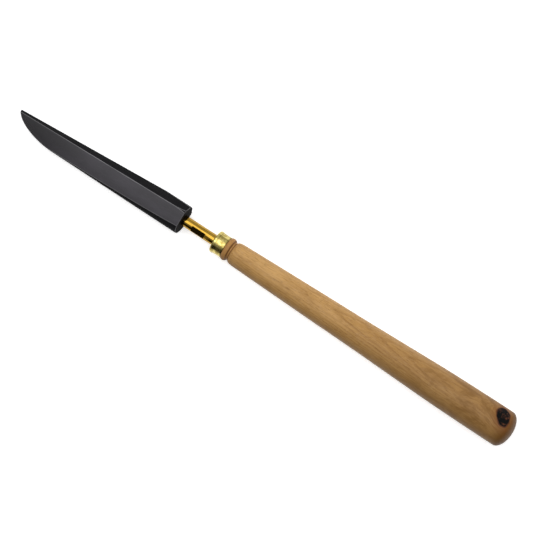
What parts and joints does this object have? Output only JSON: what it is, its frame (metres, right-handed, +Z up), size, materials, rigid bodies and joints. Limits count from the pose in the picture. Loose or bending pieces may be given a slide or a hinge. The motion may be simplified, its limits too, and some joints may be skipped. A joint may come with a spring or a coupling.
{
  "type": "swivel knife",
  "caption": "Long graphite knife blade on a brass shaft that spins freely in a ball bearing inside a brass ferrule and a turned wooden handle.",
  "frame": {"origin": "on the floor that the tool lies on, under the middle of its bounding box", "axes": "+X along the tool towards the butt of the handle, +Y towards the blade's spine, +Z up, square to the blade's cheeks. The swivel axis rises 0.91 degrees towards the butt, because the tool leans on the thick end of its handle and on the blade's base."},
  "size_m": [0.4914, 0.031, 0.0314],
  "materials": {
    "wood_handle": "oiled",
    "ferrule": "satin",
    "bearing_sleeve": "satin",
    "rear_bush": "satin bronze",
    "bearing_outer_race": "ground",
    "bearing_front_shield": "satin",
    "bearing_rear_shield": "satin",
    "bearing_cage": "satin",
    "bearing_ball_01": "polished",
    "bearing_ball_02": "polished",
    "bearing_ball_03": "polished",
    "bearing_ball_04": "polished",
    "bearing_ball_05": "polished",
    "bearing_ball_06": "polished",
    "bearing_ball_07": "polished",
    "bearing_ball_08": "polished",
    "bearing_ball_09": "polished",
    "bearing_ball_10": "polished",
    "graphite_blade": "satin machined graphite",
    "swivel_shaft": "polished",
    "bearing_inner_race": "ground",
    "bearing_shim": "satin",
    "tail_washer": "satin bronze",
    "wave_washer": "satin",
    "retaining_clip": "blackened spring steel"
  },
  "bodies": {
    "handle": {"wood_handle": "wood_handle", "ferrule": "ferrule", "bearing_sleeve": "bearing_sleeve", "rear_bush": "rear_bush", "bearing_outer_race": "bearing_outer_race", "bearing_front_shield": "bearing_front_shield", "bearing_rear_shield": "bearing_rear_shield"},
    "blade": {"graphite_blade": "graphite_blade", "swivel_shaft": "swivel_shaft", "bearing_inner_race": "bearing_inner_race", "bearing_shim": "bearing_shim", "tail_washer": "tail_washer", "wave_washer": "wave_washer", "retaining_clip": "retaining_clip"},
    "cage": {"bearing_cage": "bearing_cage", "bearing_ball_01": "bearing_ball_01", "bearing_ball_02": "bearing_ball_02", "bearing_ball_03": "bearing_ball_03", "bearing_ball_04": "bearing_ball_04", "bearing_ball_05": "bearing_ball_05", "bearing_ball_06": "bearing_ball_06", "bearing_ball_07": "bearing_ball_07", "bearing_ball_08": "bearing_ball_08", "bearing_ball_09": "bearing_ball_09", "bearing_ball_10": "bearing_ball_10"}
  },
  "joints": [
    {"name": "blade_swivel", "type": "hinge", "parent": "handle", "child": "blade", "pos_m": [-0.04224, 0, 0.01157], "axis": [0.9999, 0, 0.0159], "continuous": true},
    {"name": "cage_spin", "type": "hinge", "parent": "handle", "child": "cage", "pos_m": [-0.04224, 0, 0.01157], "axis": [0.9999, 0, 0.0159], "continuous": true}
  ],
  "couplings": [
    {"joint": "cage_spin", "follows": "blade_swivel", "ratio": 0.4167}
  ]
}
